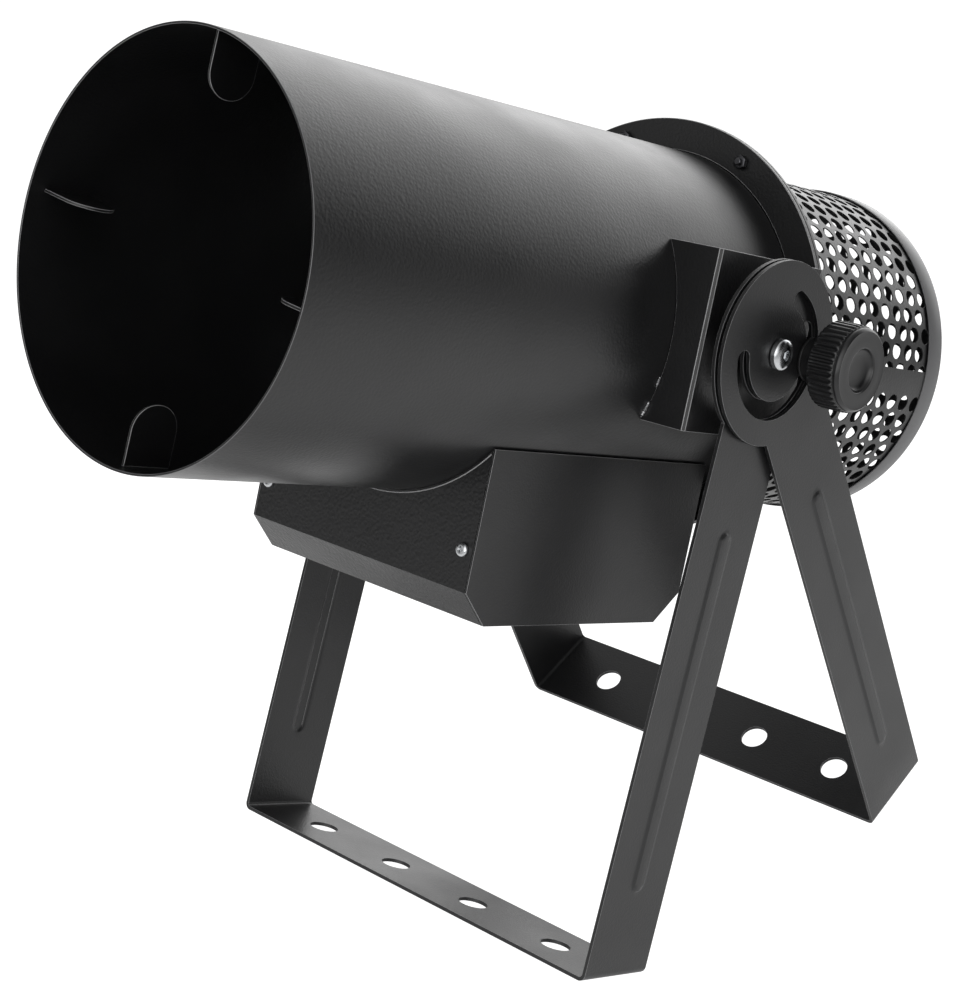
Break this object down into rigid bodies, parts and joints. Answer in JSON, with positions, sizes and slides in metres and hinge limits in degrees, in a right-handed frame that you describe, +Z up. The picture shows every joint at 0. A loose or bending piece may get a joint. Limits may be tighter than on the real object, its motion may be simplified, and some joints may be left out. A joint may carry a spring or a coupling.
{
  "type": "confetti blower",
  "caption": "Fan-driven confetti blower: a tilting steel barrel with a perforated rear intake, hung by clamp knobs between two slotted yokes that spread as an A-frame stand.",
  "frame": {"origin": "centre of the bounding box at floor level, under the middle of the blower as it stands on its two yokes", "axes": "+X to the blower's right side seen from behind it, the side with its knob in view; +Y towards the intake at the rear; the muzzle points to -Y and up; +Z up"},
  "size_m": [0.332, 0.5572, 0.4978],
  "materials": {
    "powder_coat": "black leather-grain powder coat",
    "satin_coat": "black satin powder coat",
    "zinc": "bright zinc-plated steel",
    "guard_wire": "bare galvanised steel",
    "moulded_black": "moulded black ABS",
    "nylon": "natural nylon",
    "motor_can": "grey-painted motor can",
    "circuit_board": "green solder mask",
    "push_button_red": "moulded red ABS"
  },
  "bodies": {
    "rear_yoke": {"rear_yoke": "satin_coat"},
    "front_yoke": {"front_yoke": "satin_coat"},
    "barrel": {"barrel_tube": "powder_coat", "barrel_flange": "powder_coat", "fan_mount_plate": "powder_coat", "intake_cage": "powder_coat", "cage_end_ring": "powder_coat", "rear_grille": "powder_coat", "load_guard": "guard_wire", "fan_motor": "motor_can", "box_tray": "powder_coat", "control_board": "circuit_board", "power_inlet": "moulded_black", "rocker_frame": "moulded_black", "button_bezel": "zinc", "muzzle_tab_right": "powder_coat", "muzzle_tab_top": "powder_coat", "muzzle_tab_left": "powder_coat", "muzzle_tab_bottom": "powder_coat", "flange_bolt_1": "zinc", "flange_bolt_2": "zinc", "flange_bolt_3": "zinc", "flange_bolt_4": "zinc", "flange_bolt_5": "zinc", "flange_bolt_6": "zinc", "flange_bolt_7": "zinc", "flange_bolt_8": "zinc", "box_screw_front_right": "zinc", "box_screw_front_left": "zinc", "box_screw_rear_right": "zinc", "box_screw_rear_left": "zinc", "pivot_bracket_right": "powder_coat", "pivot_bracket_left": "powder_coat", "pivot_bolt_right": "zinc", "pivot_bolt_left": "zinc", "pivot_nut_right": "zinc", "pivot_nut_left": "zinc", "pivot_spacer_right": "moulded_black", "pivot_spacer_left": "moulded_black", "disc_washer_right": "nylon", "disc_washer_left": "nylon", "clamp_spacer_right": "moulded_black", "clamp_spacer_left": "moulded_black", "clamp_nut_right": "zinc", "clamp_nut_left": "zinc", "clamp_washer_right": "moulded_black", "clamp_washer_left": "moulded_black", "box_side_right": "satin_coat", "box_side_left": "satin_coat"},
    "fan": {"fan_shaft": "zinc", "fan_impeller": "moulded_black"},
    "clamp_right": {"clamp_knob_right": "moulded_black", "clamp_stud_right": "zinc"},
    "clamp_left": {"clamp_knob_left": "moulded_black", "clamp_stud_left": "zinc"},
    "rocker": {"rocker_switch": "moulded_black"},
    "push_button": {"fire_button": "push_button_red"}
  },
  "joints": [
    {"name": "barrel_tilt", "type": "hinge", "parent": "rear_yoke", "child": "barrel", "pos_m": [0, 0.03329, 0.3171], "axis": [1, 0, 0], "range_deg": [-160, 20]},
    {"name": "front_yoke_spread", "type": "hinge", "parent": "rear_yoke", "child": "front_yoke", "pos_m": [0, 0.03329, 0.3171], "axis": [1, 0, 0], "range_deg": [-5, 45]},
    {"name": "fan_spin", "type": "hinge", "parent": "barrel", "child": "fan", "pos_m": [0, 0.03192, 0.31281], "axis": [0, 0.9522, -0.3054], "continuous": true},
    {"name": "clamp_right_turn", "type": "hinge", "parent": "barrel", "child": "clamp_right", "pos_m": [0.15, 0.06139, 0.30809], "axis": [1, 0, 0], "continuous": true},
    {"name": "clamp_left_turn", "type": "hinge", "parent": "barrel", "child": "clamp_left", "pos_m": [-0.15, 0.06139, 0.30809], "axis": [1, 0, 0], "continuous": true},
    {"name": "power_switch", "type": "hinge", "parent": "barrel", "child": "rocker", "pos_m": [-0.046, 0.03658, 0.19475], "axis": [1, 0, 0], "range_deg": [0, 20]},
    {"name": "fire_press", "type": "slide", "parent": "barrel", "child": "push_button", "axis": [0, -0.9522, 0.3054], "range_m": [0, 0.002], "stiffness_N_per_m": 400, "springref_m": -0.002}
  ]
}
